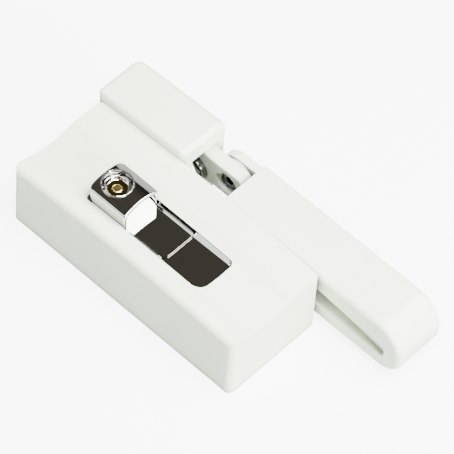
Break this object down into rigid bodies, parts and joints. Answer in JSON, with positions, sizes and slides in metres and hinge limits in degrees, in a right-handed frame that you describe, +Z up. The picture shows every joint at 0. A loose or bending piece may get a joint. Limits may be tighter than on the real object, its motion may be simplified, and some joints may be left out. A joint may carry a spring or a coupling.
{
  "type": "stair gate latch",
  "caption": "Surface slide latch: crowned white housing, chromed press-and-slide thumb piece and a folding arm on a sliding blade.",
  "frame": {"origin": "middle of the bounding rectangle of the flat fixing face, on that face", "axes": "+X along the housing towards the free end of the folding arm, +Y from the housing's front face towards the arm, +Z up out of the fixing face towards the thumb piece"},
  "size_m": [0.1098, 0.0498, 0.0275],
  "materials": {
    "white_enamel": "satin off-white powder coat",
    "white_enamel_blade": "satin off-white powder coat",
    "white_enamel_arm": "satin off-white powder coat",
    "chrome_tray": "mirror polished plate",
    "chrome_thumb": "mirror polished casting",
    "chrome_stud": "bright plated",
    "zinc_plate": "zinc plated sheet",
    "screw_steel": "zinc plated",
    "dark_steel": "oiled black steel",
    "spring_steel": "drawn wire",
    "brass_insert": "turned",
    "steel_bush": "turned, pressed in",
    "brass_stem": "turned, domed end",
    "cast_carriage": "as cast",
    "acetal": "natural acetal"
  },
  "bodies": {
    "housing_body": {"housing": "white_enamel", "guide_block": "white_enamel", "base_plate": "zinc_plate", "housing_screws": "screw_steel", "block_screws": "screw_steel", "mount_inserts": "brass_insert", "slot_liner": "chrome_tray", "liner_screws": "screw_steel", "blade_guide": "acetal", "keeper_bridge": "zinc_plate"},
    "slide": {"thumb_block": "chrome_thumb", "slide_tray": "chrome_tray", "carriage": "cast_carriage", "carriage_screws": "screw_steel", "runner_pads": "acetal", "drive_stud": "chrome_stud", "stud_screw": "dark_steel", "blade": "white_enamel_blade", "pivot_bush": "steel_bush"},
    "arm_body": {"arm": "white_enamel_arm", "pivot_screw": "dark_steel", "friction_washer": "acetal"},
    "button": {"push_button": "chrome_thumb", "button_stem": "brass_stem", "lock_collar": "dark_steel", "button_spring": "spring_steel"}
  },
  "joints": [
    {"name": "thumb_slide", "type": "slide", "parent": "housing_body", "child": "slide", "axis": [1, 0, 0], "range_m": [0, 0.0136]},
    {"name": "arm_fold", "type": "hinge", "parent": "slide", "child": "arm_body", "pos_m": [-0.01465, 0.0221, 0.0131], "axis": [0, -1, 0], "range_deg": [0, 90]},
    {"name": "button_press", "type": "slide", "parent": "slide", "child": "button", "axis": [0, 0, -1], "range_m": [0, 0.0015], "stiffness_N_per_m": 400, "springref_m": -0.0005, "deforming": ["button_spring"]}
  ]
}
